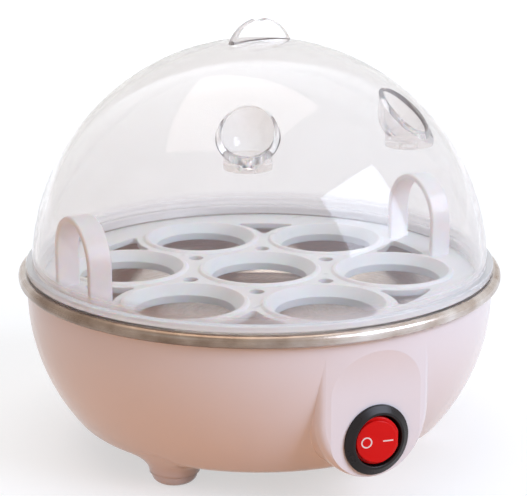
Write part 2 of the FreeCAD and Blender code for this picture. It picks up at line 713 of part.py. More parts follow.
def heater_chip(side):
    middle = side * (CHIP_LENGTH + CHIP_GAP) / 2
    half = film_half_width() - FILM - CHIP_GAP
    low = CASE_MID_Z - CHIP / 2
    return block(middle - CHIP_LENGTH / 2, middle + CHIP_LENGTH / 2, -half, half, low, low + CHIP)


def clamp_low():
    return CASE_LOW_Z - FIT - CLAMP_THICK


def heater_clamp():
    half = CLAMP_WIDTH / 2
    end = CLAMP_STUD_OFFSET + CLAMP_END
    strip = block(-half, half, -end, end, clamp_low(), clamp_low() + CLAMP_THICK)
    for side in (-1, 1):
        hole = cylinder(CLAMP_STUD + FIT, 0, UNDERSIDE_Z, 0, side * CLAMP_STUD_OFFSET)
        strip = strip.cut(hole)
    return strip


def clamp_stud(side):
    tail = clamp_low() - WASHER_THICK - CLAMP_NUT_HEIGHT - STUD_TAIL
    return cylinder(CLAMP_STUD, tail, UNDERSIDE_Z, 0, side * CLAMP_STUD_OFFSET)


def clamp_washer(side):
    y = side * CLAMP_STUD_OFFSET
    low = clamp_low() - WASHER_THICK
    return cylinder(WASHER_RADIUS, low, clamp_low(), 0, y).cut(cylinder(CLAMP_STUD + FIT, 0, LIP_Z, 0, y))


def clamp_nut(side):
    top = clamp_low() - WASHER_THICK
    return nut(CLAMP_NUT_FLATS, CLAMP_STUD, top - CLAMP_NUT_HEIGHT, top, 0, side * CLAMP_STUD_OFFSET)


def cup_low():
    return UNDERSIDE_Z - FIT - CUP_HEIGHT


def thermostat_cup():
    return cylinder(CUP_RADIUS, cup_low(), UNDERSIDE_Z - FIT, 0, THERMOSTAT_Y)


def thermostat_body():
    return cylinder(BODY_RADIUS, cup_low() - BODY_HEIGHT, cup_low(), 0, THERMOSTAT_Y)


def thermostat_collar():
    low = cup_low() - COLLAR_THICK
    plate = cylinder(COLLAR_RADIUS, low, cup_low(), 0, THERMOSTAT_Y)
    bridge = block(-EAR_OFFSET, EAR_OFFSET, -EAR_RADIUS, EAR_RADIUS, low, cup_low())
    plate = plate.fuse(moved(bridge, 0, THERMOSTAT_Y, 0))
    for side in (-1, 1):
        plate = plate.fuse(cylinder(EAR_RADIUS, low, cup_low(), side * EAR_OFFSET, THERMOSTAT_Y))
    plate = plate.cut(cylinder(BODY_RADIUS + FIT, low, cup_low(), 0, THERMOSTAT_Y))
    for side in (-1, 1):
        plate = plate.cut(cylinder(SMALL_STUD + FIT, low, cup_low(), side * EAR_OFFSET, THERMOSTAT_Y))
    return plate.removeSplitter()


def thermostat_stud(side):
    tail = cup_low() - COLLAR_THICK - SMALL_NUT_HEIGHT - STUD_TAIL
    return cylinder(SMALL_STUD, tail, UNDERSIDE_Z, side * EAR_OFFSET, THERMOSTAT_Y)


def thermostat_nut(side):
    top = cup_low() - COLLAR_THICK
    return nut(SMALL_NUT_FLATS, SMALL_STUD, top - SMALL_NUT_HEIGHT, top, side * EAR_OFFSET, THERMOSTAT_Y)


def thermostat_terminal(side):
    top = cup_low() - BODY_HEIGHT
    x = side * BLADE_OFFSET
    half = BLADE_THICK / 2
    wide = BLADE_WIDTH / 2
    return block(x - half, x + half, THERMOSTAT_Y - wide, THERMOSTAT_Y + wide, top - BLADE_LENGTH, top)


def thermal_fuse():
    body = bar_along_x(FUSE_RADIUS, -FUSE_LENGTH / 2, FUSE_LENGTH / 2, FUSE_Y, FUSE_Z)
    return body.fuse(bar_along_x(FUSE_WIRE, -FUSE_REACH, FUSE_REACH, FUSE_Y, FUSE_Z)).removeSplitter()


def sleeve_radius():
    return FUSE_RADIUS + RUNNING_FIT + SLEEVE_WALL


def fuse_sleeve():
    half = SLEEVE_LENGTH / 2
    outer = bar_along_x(sleeve_radius(), -half, half, FUSE_Y, FUSE_Z)
    return outer.cut(bar_along_x(FUSE_RADIUS + RUNNING_FIT, -half, half, FUSE_Y, FUSE_Z))


def fuse_saddle():
    """Bent strip under the sleeve with a tab against the pan for its stud."""
    half = sleeve_radius() + RUNNING_FIT
    tab_z = UNDERSIDE_Z - FIT
    path = [
        (-half, FUSE_Z, 0),
        (-half, FUSE_Z - half, half - FIT),
        (half, FUSE_Z - half, half - FIT),
        (half, tab_z, SADDLE_SHEET),
        (half + SADDLE_TAB, tab_z, 0),
    ]
    strip = Part.Face(sheet_outline(path, SADDLE_SHEET)).extrude(V(0, SADDLE_WIDTH, 0))
    strip = moved(turned(strip, 90), SADDLE_WIDTH / 2, FUSE_Y, 0)
    return strip.cut(cylinder(SMALL_STUD + FIT, 0, UNDERSIDE_Z, 0, FUSE_Y + SADDLE_STUD_OFFSET))


def fuse_stud():
    tail = UNDERSIDE_Z - FIT - SADDLE_SHEET - SMALL_NUT_HEIGHT - STUD_TAIL
    return cylinder(SMALL_STUD, tail, UNDERSIDE_Z, 0, FUSE_Y + SADDLE_STUD_OFFSET)


def fuse_nut():
    top = UNDERSIDE_Z - FIT - SADDLE_SHEET
    return nut(SMALL_NUT_FLATS, SMALL_STUD, top - SMALL_NUT_HEIGHT, top, 0, FUSE_Y + SADDLE_STUD_OFFSET)


def on_switch(shape):
    """Place a shape from the switch's own frame: x across, y up and z out of the housing's flat."""
    return moved(turned(shape, 90, ORIGIN, X_AXIS), 0, FLAT_Y, SWITCH_Z)


def tilted(shape):
    """Swing a level rocker piece about its pivot to the off position, placed in the cooker."""
    return on_switch(turned(shape, -ROCKER_TILT, V(0, 0, -PIVOT_DEPTH), Y_AXIS))


def contact_level():
    return FLAT_Y - CONTACT_Y


def fulcrum_level():
    return contact_level() - CONTACT_THICK / 2 - FULCRUM_GAP


def load_level():
    tilt = math.radians(CONTACT_TILT)
    swing = (abs(LOAD_X) + TERMINAL_THICK / 2) * math.tan(tilt)
    return contact_level() - CONTACT_THICK / 2 / math.cos(tilt) - swing - FULCRUM_GAP


def terminal(x, top, clearance):
    half = TERMINAL_THICK / 2 + clearance
    wide = TERMINAL_WIDTH / 2 + clearance
    return block(x - half, x + half, -wide, wide, -SWITCH_DEPTH - TERMINAL_REACH, top)


def switch_snap():
    """Wedge beside the body that holds the switch in the housing's wall."""
    top = -SHELL_WALL - FIT
    inner = SWITCH_BORE + SWITCH_BODY_WALL / 2
    corners = [V(inner, 0, top), V(SWITCH_BODY + SNAP_HEIGHT, 0, top), V(inner, 0, top - SNAP_LENGTH)]
    wedge = Part.Face(Part.makePolygon(corners + corners[:1])).extrude(V(0, SNAP_WIDTH, 0))
    return moved(wedge, 0, -SNAP_WIDTH / 2, 0)


def switch_housing():
    floor = SWITCH_BACK - SWITCH_DEPTH
    outline = [
        (0, -SWITCH_DEPTH, 0),
        (SWITCH_BODY, -SWITCH_DEPTH, 0),
        (SWITCH_BODY, FIT, 0),
        (BEZEL_RADIUS, FIT, 0),
        (BEZEL_RADIUS, BEZEL_EDGE, BEZEL_ROUNDING),
        (SWITCH_BORE + BEZEL_RIDGE, BEZEL_HEIGHT, BEZEL_ROUNDING),
        (SWITCH_BORE, BEZEL_HEIGHT, BEZEL_ROUNDING),
        (SWITCH_BORE, floor, 0),
        (0, floor, 0),
    ]
    body = lathe(outline)
    for side in (0, 180):
        body = body.fuse(turned(switch_snap(), side))
    body = body.cut(bar_along_y(PIVOT_RADIUS + RUNNING_FIT, -SWITCH_BODY, SWITCH_BODY, 0, -PIVOT_DEPTH))
    body = body.cut(terminal(0, floor, RUNNING_FIT))
    body = body.cut(terminal(LOAD_X, floor, RUNNING_FIT))
    return on_switch(body.removeSplitter())


def level_rocker():
    """Rocker body before it is tilted, with its pivots but without marks or stem."""
    low = -PIVOT_DEPTH - ROCKER_BACK
    shoulder = ROCKER_LEVEL - ROCKER_STEP
    outline = [
        (0, low, 0),
        (ROCKER_RADIUS, low, 0),
        (ROCKER_RADIUS, shoulder, ROCKER_ROUNDING),
        (ROCKER_FACE, shoulder, 0),
        (ROCKER_FACE, ROCKER_LEVEL, ROCKER_ROUNDING),
        (0, ROCKER_LEVEL, 0),
    ]
    sweep = bar_along_y(SWITCH_BORE - SWEEP_GAP, -SWITCH_BODY, SWITCH_BODY, 0, -PIVOT_DEPTH)
    pivot_end = SWITCH_BODY - PIVOT_INSET
    pivots = bar_along_y(PIVOT_RADIUS, -pivot_end, pivot_end, 0, -PIVOT_DEPTH)
    return lathe(outline).common(sweep).fuse(pivots)


def level_mark_off():
    low = ROCKER_LEVEL - MARK_DEPTH
    ring = cylinder(MARK_RING, low, ROCKER_LEVEL, MARK_OFF_X, 0)
    return ring.cut(cylinder(MARK_RING - MARK_LINE, low, ROCKER_LEVEL, MARK_OFF_X, 0))


def level_mark_on():
    half = MARK_BAR / 2
    line = MARK_LINE / 2
    return block(MARK_ON_X - half, MARK_ON_X + half, -line, line, ROCKER_LEVEL - MARK_DEPTH, ROCKER_LEVEL)


def switch_rocker():
    stem_end = -PIVOT_DEPTH - STEM_LENGTH
    bore_end = -PIVOT_DEPTH - PLUNGER_SEAT + SPRING_LENGTH + 2 * FIT
    rocker = level_rocker().fuse(cylinder(STEM_RADIUS, stem_end, -PIVOT_DEPTH))
    rocker = rocker.cut(cylinder(PLUNGER_RADIUS + RUNNING_FIT, stem_end, bore_end))
    rocker = rocker.cut(level_mark_off()).cut(level_mark_on())
    return tilted(rocker.removeSplitter())


def switch_plunger():
    tip = PLUNGER_RADIUS - PIVOT_DEPTH - PLUNGER_TIP
    pin = cylinder(PLUNGER_RADIUS, tip, -PIVOT_DEPTH - PLUNGER_SEAT)
    return tilted(pin.fuse(Part.makeSphere(PLUNGER_RADIUS, V(0, 0, tip))).removeSplitter())


def helix_point(turn, pitch, low):
    angle = 2 * math.pi * turn
    return V(SPRING_COIL * math.cos(angle), SPRING_COIL * math.sin(angle), low + pitch * turn)


def helix_tangent(turn, pitch):
    angle = 2 * math.pi * turn
    rise = pitch / (2 * math.pi * SPRING_COIL)
    return V(-math.sin(angle), math.cos(angle), rise).normalize()


def biarc(start, leaving, end, arriving):
    """Two tangent arcs between two points with given directions."""
    span = end - start
    across = span.dot(leaving + arriving)
    bulge = 2 * (1 - leaving.dot(arriving))
    reach = (math.sqrt(across ** 2 + bulge * span.dot(span)) - across) / bulge
    first = start + leaving * reach
    second = end - arriving * reach
    joint = (first + second) * 0.5
    return [corner_arc(start, first, joint), corner_arc(joint, second, end)]


def corner_arc(start, corner, end):
    """Arc from start to end, tangent to the two equal legs that meet at a corner."""
    back = start - corner
    leg = back.Length
    half = back.getAngle(end - corner) / 2
    towards = (start + end) * 0.5 - corner
    towards.normalize()
    middle = corner + towards * (leg / math.cos(half) - leg * math.tan(half))
    return Part.Arc(start, middle, end).toShape()


def switch_spring():
    """Coil spring between the rocker and its plunger."""
    pitch = (SPRING_LENGTH - 2 * SPRING_WIRE) / SPRING_TURNS
    low = -PIVOT_DEPTH - PLUNGER_SEAT + FIT + SPRING_WIRE
    edges = []
    for quarter in range(4 * SPRING_TURNS):
        start = quarter / 4
        end = start + 0.25
        edges += biarc(helix_point(start, pitch, low), helix_tangent(start, pitch),
                       helix_point(end, pitch, low), helix_tangent(end, pitch))
    section = Part.Wire(Part.makeCircle(SPRING_WIRE, helix_point(0, pitch, low), helix_tangent(0, pitch)))
    return tilted(Part.Wire(edges).makePipeShell([section], True, False))


def contact_blade():
    half = CONTACT_LENGTH / 2
    wide = CONTACT_WIDTH / 2
    low = contact_level() - CONTACT_THICK / 2
    blade = block(-half, half, -wide, wide, low, low + CONTACT_THICK)
    return on_switch(turned(blade, CONTACT_TILT, V(0, 0, contact_level()), Y_AXIS))


def cord_gland():
    inner = -GLAND_WEB - FIT
    outer = FIT + GLAND_FLANGE_THICK
    outline = [
        (GLAND_BORE, inner - GLAND_FLANGE_THICK, 0),
        (GLAND_FLANGE, inner - GLAND_FLANGE_THICK, GLAND_ROUNDING),
        (GLAND_FLANGE, inner, 0),
        (GLAND_NECK, inner, 0),
        (GLAND_NECK, FIT, 0),
        (GLAND_FLANGE, FIT, 0),
        (GLAND_FLANGE, outer, GLAND_ROUNDING),
        (GLAND_BORE, outer, 0),
    ]
    return moved(turned(lathe(outline), -90, ORIGIN, X_AXIS), 0, GLAND_SEAT_Y, GLAND_Z)


def crimp_cap(side):
    x = side * CAP_X
    cap = bar_along_y(CAP_RADIUS, CAP_Y, CAP_Y + CAP_LENGTH, x, CAP_Z)
    return cap.cut(bar_along_y(LEAD_RADIUS + RUNNING_FIT, CAP_Y, CAP_Y + CAP_BORE_DEPTH, x, CAP_Z))


def cap_end(side):
    return [V(side * CAP_X, CAP_Y - CAP_LENGTH, CAP_Z), V(side * CAP_X, CAP_Y + CAP_BORE_DEPTH - FIT, CAP_Z)]


def live_lead():
    end = TERMINAL_END_Y + FIT
    route = [
        V(0, end, SWITCH_Z),
        V(0, end + 5, SWITCH_Z),
        V(2, end + 11, SWITCH_Z - 7),
        V(0.35 * OPENING_RADIUS, -0.76 * OPENING_RADIUS, BOTTOM_Z + 5),
        V(0.65 * OPENING_RADIUS, -0.29 * OPENING_RADIUS, BOTTOM_Z + 5),
        V(0.35 * OPENING_RADIUS, 0.41 * OPENING_RADIUS, BOTTOM_Z + 7),
    ]
    return tube(route + cap_end(1), LEAD_RADIUS)


def blade_end(side):
    """Point beside a thermostat terminal where its lead starts, and the next one out."""
    x = BLADE_OFFSET + BLADE_THICK / 2 + FIT
    z = cup_low() - BODY_HEIGHT - BLADE_LENGTH / 2
    return [V(side * x, THERMOSTAT_Y, z), V(side * (x + 8), THERMOSTAT_Y, z)]


def switch_lead():
    start = TERMINAL_END_Y + FIT
    route = [
        V(LOAD_X, start, SWITCH_Z),
        V(LOAD_X, start + 5, SWITCH_Z),
        V(LOAD_X - 7, start + 9, SWITCH_Z + 2),
    ]
    return tube(route + blade_end(-1)[::-1], LEAD_RADIUS)


def tab_end(side):
    """Point at the end of an electrode's tab where its lead starts, and the next one out."""
    x = HEATER_LENGTH / 2 + TAB_REACH + FIT
    z = CASE_MID_Z + side * (CHIP + ELECTRODE) / 2
    return [V(x, -side * TAB_OFFSET, z), V(x + 7, -side * TAB_OFFSET, z)]


def heater_lead():
    route = [
        V(24, -33, UNDERSIDE_Z - 13.6),
        V(35, -23, UNDERSIDE_Z - 10.6),
        V(44, -14, UNDERSIDE_Z - 6.6),
    ]
    return tube(blade_end(1) + route + tab_end(1)[::-1], LEAD_RADIUS)


def fuse_lead():
    route = [
        V(46, 14, UNDERSIDE_Z - 5.6),
        V(40, 27, UNDERSIDE_Z - 4.6),
        V(29, FUSE_Y, FUSE_Z),
        V(FUSE_REACH + FIT, FUSE_Y, FUSE_Z),
    ]
    return tube(tab_end(-1) + route, LEAD_RADIUS)


def neutral_lead():
    route = [
        V(-FUSE_REACH - FIT, FUSE_Y, FUSE_Z),
        V(-27, FUSE_Y, FUSE_Z),
        V(-33, 33, UNDERSIDE_Z - 8.6),
        V(-28, 26, CAP_Z + 3),
        V(-15, 26, CAP_Z),
    ]
    return tube(route + cap_end(-1), LEAD_RADIUS)


def pieces():
    """Every piece of the cooker by name."""
    made = {
        "base_shell": base_shell(),
        "bottom_cover": bottom_cover(),
        "heating_pan": heating_pan(),
        "egg_tray": egg_tray(),
        "lid_dome": lid_dome(),
        "heater_case": heater_case(),
        "heater_film": heater_film(),
        "heater_clamp": heater_clamp(),
        "thermostat_cup": thermostat_cup(),
        "thermostat_body": thermostat_body(),
        "thermostat_collar": thermostat_collar(),
        "thermal_fuse": thermal_fuse(),
        "fuse_sleeve": fuse_sleeve(),
        "fuse_saddle": fuse_saddle(),
        "fuse_stud": fuse_stud(),
        "fuse_nut": fuse_nut(),
        "switch_housing": switch_housing(),
        "switch_rocker": switch_rocker(),
        "rocker_mark_off": tilted(level_mark_off()),
        "rocker_mark_on": tilted(level_mark_on()),
        "switch_plunger": switch_plunger(),
        "switch_spring": switch_spring(),
        "contact_blade": contact_blade(),
        "line_terminal": on_switch(terminal(0, fulcrum_level(), 0)),
        "load_terminal": on_switch(terminal(LOAD_X, load_level(), 0)),
        "cord_gland": cord_gland(),
        "live_lead": live_lead(),
        "switch_lead": switch_lead(),
        "heater_lead": heater_lead(),
        "fuse_lead": fuse_lead(),
        "neutral_lead": neutral_lead(),
    }
    for number, bearing in enumerate(COVER_BEARINGS, 1):
        made[f"cover_screw_{number}"] = cover_screw(bearing)
    pairs = {
        "heater_electrode": heater_electrode,
        "heater_chip": heater_chip,
        "clamp_stud": clamp_stud,
        "clamp_washer": clamp_washer,
        "clamp_nut": clamp_nut,
        "thermostat_stud": thermostat_stud,
        "thermostat_nut": thermostat_nut,
        "thermostat_terminal": thermostat_terminal,
        "crimp_cap": crimp_cap,
    }
    for name, make in pairs.items():
        made[f"{name}_1"] = make(-1)
        made[f"{name}_2"] = make(1)
    return made


os.makedirs("parts", exist_ok=True)
for name, shape in pieces().items():
    solids = shape.Solids
    assert len(solids) == 1 and solids[0].isValid(), name
    solids[0].exportStep(f"parts/{name}.step")
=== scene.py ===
import json
import math

import bpy
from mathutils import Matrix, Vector


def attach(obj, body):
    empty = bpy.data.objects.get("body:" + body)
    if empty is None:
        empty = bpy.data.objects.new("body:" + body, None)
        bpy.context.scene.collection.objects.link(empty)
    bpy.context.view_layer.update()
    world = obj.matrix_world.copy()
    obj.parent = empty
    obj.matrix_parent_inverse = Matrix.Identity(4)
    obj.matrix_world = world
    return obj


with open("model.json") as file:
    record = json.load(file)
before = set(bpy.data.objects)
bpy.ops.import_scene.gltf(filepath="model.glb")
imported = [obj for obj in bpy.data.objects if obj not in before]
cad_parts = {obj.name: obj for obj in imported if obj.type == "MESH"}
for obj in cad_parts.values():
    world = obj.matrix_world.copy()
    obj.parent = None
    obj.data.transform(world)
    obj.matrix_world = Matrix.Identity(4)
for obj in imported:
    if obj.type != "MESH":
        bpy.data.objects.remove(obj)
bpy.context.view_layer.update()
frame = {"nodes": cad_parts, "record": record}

# Camera, fitted to the outline of the object in its picture
IMAGE_WIDTH = 527
FOCAL_PIXELS = 1879.0
SENSOR_WIDTH = 36.0
CAMERA_AZIMUTH = -28.0
CAMERA_ELEVATION = 15.77
CAMERA_DISTANCE = 0.65
TARGET = Vector((0.0, 0.0, 0.0665))
AXIS_OFFSET = (4.0, 2.0)      # pixels by which the axis lies left of and below the image's centre

# Feet and the bottom of the base, in metres
BOTTOM_Z = 0.009              # flat bottom above the floor
FLAT_RADIUS = 0.05965
CORNER_RADIUS = 0.007         # rounding between the flat bottom and the curved side
CORNER_END = 0.06509          # distance from the axis at which that rounding ends
BOWL_ARC = 0.0674             # radius of the curved side in section
BOWL_CENTRE = 0.0127          # centre of that arc from the axis
WIDEST_Z = 0.054              # height of that centre
FOOT_CIRCLE = 0.05315
FOOT_SIDE = 0.0084            # radius of a foot where it meets the base
FOOT_BEARINGS = (60.0, 180.0, 300.0)
BLEND = 0.0054                # reach of the soft ring round a foot
BLEND_SINK = 0.0006           # how far that ring is sunk into foot and base
BLEND_STEPS = 8
BLEND_SEGMENTS = 64

# Finishes in general
NOISE_MIDDLE = (0.3, 0.7)     # span that holds most of a noise's values
SKIN_DEPTH = 0.0002           # relief of a moulded skin
SCUFF_DEPTH = 0.0001          # relief of scuffs and spinning lines

# Lid
LID_COLOUR = (0.94, 0.925, 0.912, 1.0)
LID_EDGE = (0.0645, 0.069)    # heights between which the lid turns from milky to clear
LID_CLEARNESS = (0.62, 0.89)  # share of transmission at those heights
LID_IOR = 1.3
LID_WAVE_DEPTH = 0.0012
LAMP_SHARE = (0.93, 0.93, 0.93, 1.0)    # lamp light that one face of the lid lets through

# Tray
MILKY_COLOURS = ((0.90, 0.86, 0.84, 1.0), (0.94, 0.90, 0.88, 1.0))
MILKY_IOR = 1.49
SCATTER_SHARE = 0.4
SCATTER_DEPTH = 0.004

# Pan
PAN_COLOURS = ((0.56, 0.53, 0.50, 1.0), (0.64, 0.62, 0.60, 1.0))
PAN_RIM = (0.080, 0.0815)     # radii between which the pan's clean inside turns to its rolled rim
# pale and brownish colours between which the rim's cloudy marks turn; these patches are partly painted
# reflection
RIM_PALE = ((0.46, 0.37, 0.31, 1.0), (0.80, 0.76, 0.74, 1.0))
# brown colours of a reflection painted on one side of the rim, between which its cloudy marks turn there
RIM_PAINTED_BROWN_REFLECTION = ((0.16, 0.10, 0.065, 1.0), (0.36, 0.27, 0.21, 1.0))
RIM_MARK_AND_REFLECTION_PATTERN = 6.2               # picks the pattern of cloudy marks on the rim, which are partly wear and partly painted reflection
PAINTED_REFLECTION_SIDE = (-0.86, -0.51)    # direction from the axis in which a brown reflection of the surroundings is painted on the rim
PAINTED_REFLECTION_SPAN = (0.66, 0.88)      # cosines of the turn from there, where the painted reflection ends and where it is full
LINE_COLOUR = (0.26, 0.19, 0.15, 1.0)
LINE_SHARE = 0.35

# Other finishes, by the record's slots
MOULDED = {
    "white_plastic": {"colour": (0.83, 0.82, 0.84), "rough": 0.2, "coat_weight": 0.15},
    "amber_film": {"colour": (0.62, 0.30, 0.04), "rough": 0.25, "bump": 0.02},
    "chip_ceramic": {
        "colour": (0.10, 0.095, 0.09), "rough": 0.7, "grain": 3000.0, "bump": 0.3, "spread": 0.15,
    },
    "dark_phenolic": {"colour": (0.03, 0.027, 0.025), "rough": 0.45, "bump": 0.1, "spread": 0.1},
    "white_nylon": {"colour": (0.78, 0.77, 0.73), "rough": 0.5, "bump": 0.1},
    "black_plastic": {
        "colour": (0.012, 0.009, 0.009), "rough": 0.3, "grain": 1800.0, "bump": 0.08, "spread": 0.1,
        "specular_ior_level": 0.25,
    },
    "red_plastic": {
        "colour": (0.74, 0.006, 0.006), "rough": 0.2, "bump": 0.02, "spread": 0.06,
        "specular_ior_level": 0.15,
    },
    "mark_white": {"colour": (0.88, 0.84, 0.83), "rough": 0.4, "grain": 2500.0, "bump": 0.1},
    "gland_rubber": {"colour": (0.76, 0.75, 0.73), "rough": 0.55, "grain": 2200.0, "bump": 0.15},
}
METALS = {
    "zinc_steel": {"colour": (0.66, 0.66, 0.64), "rough": 0.35},
    "aluminium": {"colour": (0.78, 0.78, 0.78), "rough": 0.38},
    "brass": {"colour": (0.80, 0.58, 0.24), "rough": 0.32},
}
SLEEVES = {
    "lead_red": (0.40, 0.02, 0.016),
    "lead_white": (0.74, 0.72, 0.69),
}

# Stage
WHITE = (1.0, 1.0, 1.0, 1.0)
FLOOR_SIZE = 8.0
FLOOR_COLOURS = ((0.44, 0.44, 0.44, 1.0), (0.46, 0.46, 0.46, 1.0))
FLOOR_GLOW = (0.58, 0.92)     # near the object and far from it, which makes the floor look white
FLOOR_FADE = (0.3, 1.6)       # distances between which the glow goes from near to far
FLOOR_TINT = (0.66, 0.31, 0.13, 1.0)    # colour of the light that the floor throws back
WORLD_TOP = (0.86, 0.92, 1.0, 1.0)
WORLD_SIDE = (0.48, 0.60, 0.80, 1.0)
WORLD_STRENGTH = 0.30

# Lamps: place and aim in metres, width and height, watts and colour
MIDDLE = (0.0, 0.0, 0.07)
LOW_MIDDLE = (0.0, 0.0, 0.02)
LAMPS = {
    "window_right": ((0.63, -0.90, 0.7), MIDDLE, (0.8, 0.7), 14.4, (0.72, 0.81, 1.0)),
    "top_soft": ((-0.1, 0.15, 1.1), MIDDLE, (0.9, 0.9), 4.8, (1.0, 0.92, 0.84)),
    "fill_left": ((-1.0, -0.45, 0.45), MIDDLE, (0.6, 0.8), 1.0, (0.5, 0.75, 1.0)),
    "back_soft": ((0.2, 1.0, 0.3), MIDDLE, (0.9, 0.6), 4.6, (0.82, 0.90, 1.0)),
    "low_warm": ((-0.80, -0.50, 0.03), LOW_MIDDLE, (0.8, 0.12), 1.9, (1.0, 0.44, 0.18)),
}
UNSEEN_LAMPS = ("back_soft", "low_warm")    # not shown by metal and glass


class Graph:
    """A node tree with short ways to add nodes and links."""

    def __init__(self, owner, coordinates="Object"):
        owner.use_nodes = True
        self.owner = owner
        self.tree = owner.node_tree
        self.shader = self.tree.nodes.get("Principled BSDF")
        self.place = self.node("ShaderNodeTexCoord").outputs[coordinates]

    def node(self, kind, **settings):
        made = self.tree.nodes.new(kind)
        for key, value in settings.items():
            setattr(made, key, value)
        return made

    def link(self, source, target):
        self.tree.links.new(source, target)

    def feed(self, target, value):
        """Set an input from a number or colour, or link it to an output."""
        if isinstance(value, bpy.types.NodeSocket):
            self.link(value, target)
        else:
            target.default_value = value

    def set(self, **values):
        """Feed the shader's inputs, named in lower case with underscores."""
        for key, value in values.items():
            label = key.replace("_", " ").title().replace("Ior", "IOR")
            self.feed(self.shader.inputs[label], value)

    def math(self, operation, first, second=0.0):
        made = self.node("ShaderNodeMath", operation=operation)
        self.feed(made.inputs[0], first)
        self.feed(made.inputs[1], second)
        return made.outputs[0]

    def sum_of_products(self, first, second):
        """Two pairs of values, each multiplied, and then added up."""
        products = [self.math("MULTIPLY", *pair) for pair in (first, second)]
        return self.math("ADD", *products)

    def noise(self, scale, detail, vector=None):
        made = self.node("ShaderNodeTexNoise")
        made.inputs["Scale"].default_value = scale
        made.inputs["Detail"].default_value = detail
        self.link(vector or self.place, made.inputs["Vector"])
        return made.outputs["Fac"]

    def remap(self, source, low, high, span=NOISE_MIDDLE):
        """Stretch a span of an output, by default the middle of a noise, to a range of values."""
        made = self.node("ShaderNodeMapRange")
        made.inputs["From Min"].default_value = span[0]
        made.inputs["From Max"].default_value = span[1]
        made.inputs["To Min"].default_value = low
        made.inputs["To Max"].default_value = high
        self.link(source, made.inputs["Value"])
        return made.outputs["Result"]

    def mix(self, factor, first, second):
        made = self.node("ShaderNodeMix", data_type="RGBA")
        self.feed(made.inputs["Factor"], factor)
        self.feed(made.inputs["A"], first)
        self.feed(made.inputs["B"], second)
        return made.outputs["Result"]

    def bump(self, height, strength, distance):
        made = self.node("ShaderNodeBump")
        made.inputs["Strength"].default_value = strength
        made.inputs["Distance"].default_value = distance
        self.link(height, made.inputs["Height"])
        self.link(made.outputs["Normal"], self.shader.inputs["Normal"])

    def split(self):
        """The three coordinates of a point, in metres on a piece."""
        made = self.node("ShaderNodeSeparateXYZ")
        self.link(self.place, made.inputs[0])
        return made.outputs

    def radius(self):
        """Distance from the upright axis."""
        x, y, _ = self.split()
        return self.math("SQRT", self.sum_of_products((x, x), (y, y)))

    def facing(self, direction):
        """Cosine of the turn round the axis from a direction to a point."""
        x, y, _ = self.split()
        along = self.sum_of_products((x, direction[0]), (y, direction[1]))
        return self.math("DIVIDE", along, self.radius())

    def around_axis(self, turn_scale, radius_scale, height_scale, start=0.0):
        """Coordinates that run round the upright axis, for marks left by spinning."""
        x, y, z = self.split()
        radius = self.radius()
        joined = self.node("ShaderNodeCombineXYZ")
        for k, flat in enumerate((x, y)):
            unit = self.math("DIVIDE", flat, radius)
            self.link(self.math("MULTIPLY", unit, turn_scale), joined.inputs[k])
        across = self.math("ADD", self.math("MULTIPLY", radius, radius_scale), start)
        upward = self.math("MULTIPLY", z, height_scale)
        self.link(self.math("ADD", across, upward), joined.inputs[2])
        return joined.outputs[0]


def new_material(name):
    return Graph(bpy.data.materials.new(name))


def shade(colour, factor):
    return tuple(min(1.0, part * factor) for part in colour) + (1.0,)


def moulded(name, colour, rough, grain=900.0, bump=0.04, spread=0.03, **extra):
    """Moulded plastic: faint cloudiness in its colour and gloss, and a fine skin."""
    graph = new_material(name)
    cloud = graph.noise(scale=35.0, detail=4.0)
    gloss = graph.noise(scale=160.0, detail=4.0)
    graph.set(base_color=graph.mix(cloud, shade(colour, 1 - spread), shade(colour, 1 + spread)))
    graph.set(roughness=graph.remap(gloss, low=rough * 0.8, high=rough * 1.25))
    graph.bump(graph.noise(scale=grain, detail=2.0), strength=bump, distance=SKIN_DEPTH)
    graph.set(**extra)
    return graph.owner


def plain_metal(name, colour, rough, grain=2500.0):
    """Stamped or turned small metal parts with fine scuffs."""
    graph = new_material(name)
    scuff = graph.noise(scale=grain, detail=5.0)
    gloss = graph.noise(scale=grain / 4, detail=4.0)
    graph.set(base_color=graph.mix(scuff, shade(colour, 0.85), shade(colour, 1.1)), metallic=1.0)
    graph.set(roughness=graph.remap(gloss, low=rough * 0.7, high=rough * 1.3))
    graph.bump(scuff, strength=0.08, distance=SCUFF_DEPTH)
    return graph.owner


def spun_steel(name):
    """Steel sheet with fine lines round the axis, clean inside, with cloudy marks on the rim that are
    partly painted reflection, and a brown reflection painted on one side of the rim.
    """
    graph = new_material(name)
    round_lines = graph.around_axis(turn_scale=3.0, radius_scale=5200.0, height_scale=5200.0)
    # cloudy marks round the axis: partly wear, partly painted reflection of pale and brown surroundings
    round_marks_and_reflections = graph.around_axis(turn_scale=7.0, radius_scale=90.0, height_scale=140.0, start=RIM_MARK_AND_REFLECTION_PATTERN)
    lines = graph.noise(scale=1.0, detail=6.0, vector=round_lines)
    marks_and_reflections = graph.remap(graph.noise(scale=1.0, detail=4.0, vector=round_marks_and_reflections), low=0.0, high=1.0)
    painted_reflection = graph.remap(graph.facing(PAINTED_REFLECTION_SIDE), low=0.0, high=1.0, span=PAINTED_REFLECTION_SPAN)
    # painted reflection: the rim turns brown on one side, as if it reflected brown surroundings
    rim = graph.mix(painted_reflection, graph.mix(marks_and_reflections, *RIM_PALE), graph.mix(marks_and_reflections, *RIM_PAINTED_BROWN_REFLECTION))
    inside = graph.mix(graph.noise(scale=30.0, detail=3.0), *PAN_COLOURS)
    outward = graph.remap(graph.radius(), low=0.0, high=1.0, span=PAN_RIM)
    sheet = graph.mix(outward, inside, rim)
    lined = graph.mix(graph.remap(lines, low=0.0, high=LINE_SHARE), sheet, LINE_COLOUR)
    graph.set(base_color=lined, metallic=1.0, roughness=graph.remap(lines, low=0.20, high=0.34))
    graph.bump(lines, strength=0.10, distance=SCUFF_DEPTH)
    return graph.owner


